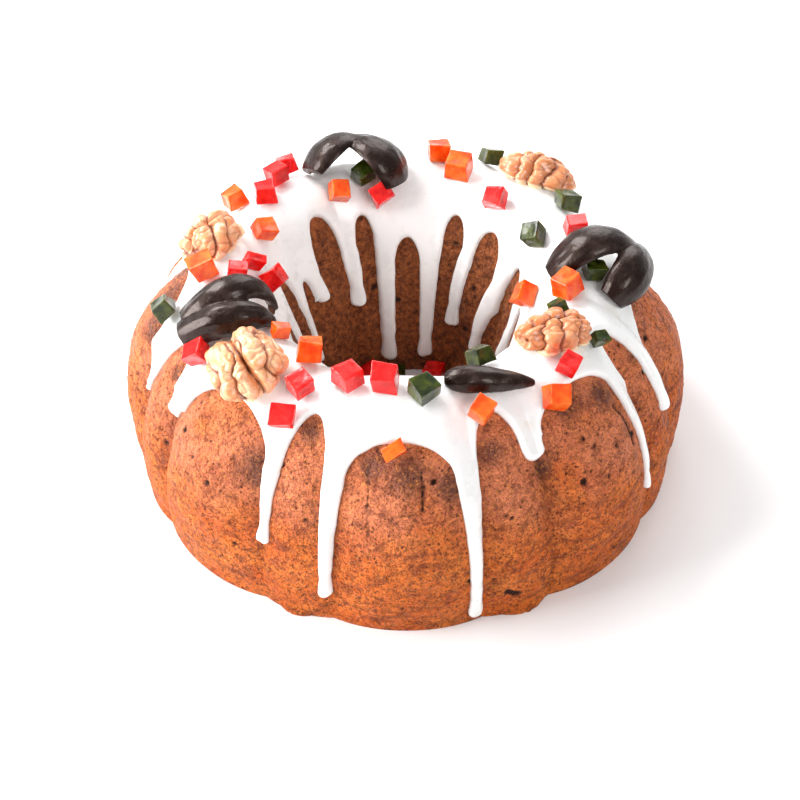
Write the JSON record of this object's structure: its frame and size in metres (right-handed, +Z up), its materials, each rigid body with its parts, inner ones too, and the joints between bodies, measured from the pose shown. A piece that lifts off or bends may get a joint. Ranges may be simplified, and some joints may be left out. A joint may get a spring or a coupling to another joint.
{
  "type": "ring-shaped iced fruit cake",
  "caption": "Fluted ring cake with a hole through it, white icing dripping down inside and out, topped with walnut halves, prunes and diced candied fruit.",
  "frame": {"origin": "on the ring's axis, on the surface that the cake stands on", "axes": "+Z up along the axis of the hole, -Y towards the side that the picture shows"},
  "size_m": [0.2142, 0.2142, 0.0963],
  "materials": {
    "crust": "baked brown crust with fine pores, matt with a faint sheen",
    "icing": "opaque white sugar icing, satin gloss",
    "walnut": "light tan walnut kernel with pale ridges",
    "prune": "near-black dried prune, satin skin",
    "candied_red": "translucent red candied fruit",
    "candied_orange": "translucent orange candied fruit",
    "candied_green": "translucent dark green candied fruit"
  },
  "bodies": {
    "root": {"cake": "crust", "candied_green_06": "candied_green", "candied_green_10": "candied_green", "candied_green_12": "candied_green", "candied_green_13": "candied_green", "candied_green_20": "candied_green", "candied_green_27": "candied_green", "candied_green_30": "candied_green", "candied_green_35": "candied_green", "candied_green_36": "candied_green", "candied_green_37": "candied_green", "candied_green_40": "candied_green", "candied_orange_01": "candied_orange", "candied_orange_05": "candied_orange", "candied_orange_08": "candied_orange", "candied_orange_09": "candied_orange", "candied_orange_15": "candied_orange", "candied_orange_16": "candied_orange", "candied_orange_22": "candied_orange", "candied_orange_28": "candied_orange", "candied_orange_29": "candied_orange", "candied_orange_32": "candied_orange", "candied_orange_33": "candied_orange", "candied_orange_34": "candied_orange", "candied_orange_38": "candied_orange", "candied_orange_41": "candied_orange", "candied_red_02": "candied_red", "candied_red_03": "candied_red", "candied_red_04": "candied_red", "candied_red_07": "candied_red", "candied_red_11": "candied_red", "candied_red_14": "candied_red", "candied_red_17": "candied_red", "candied_red_18": "candied_red", "candied_red_19": "candied_red", "candied_red_21": "candied_red", "candied_red_23": "candied_red", "candied_red_24": "candied_red", "candied_red_25": "candied_red", "candied_red_26": "candied_red", "candied_red_31": "candied_red", "candied_red_39": "candied_red", "candied_red_42": "candied_red", "icing": "icing", "prune_back": "prune", "prune_front": "prune", "prune_left": "prune", "prune_right": "prune", "walnut_back_right": "walnut", "walnut_front_left": "walnut", "walnut_front_right": "walnut", "walnut_left": "walnut"}
  },
  "joints": []
}
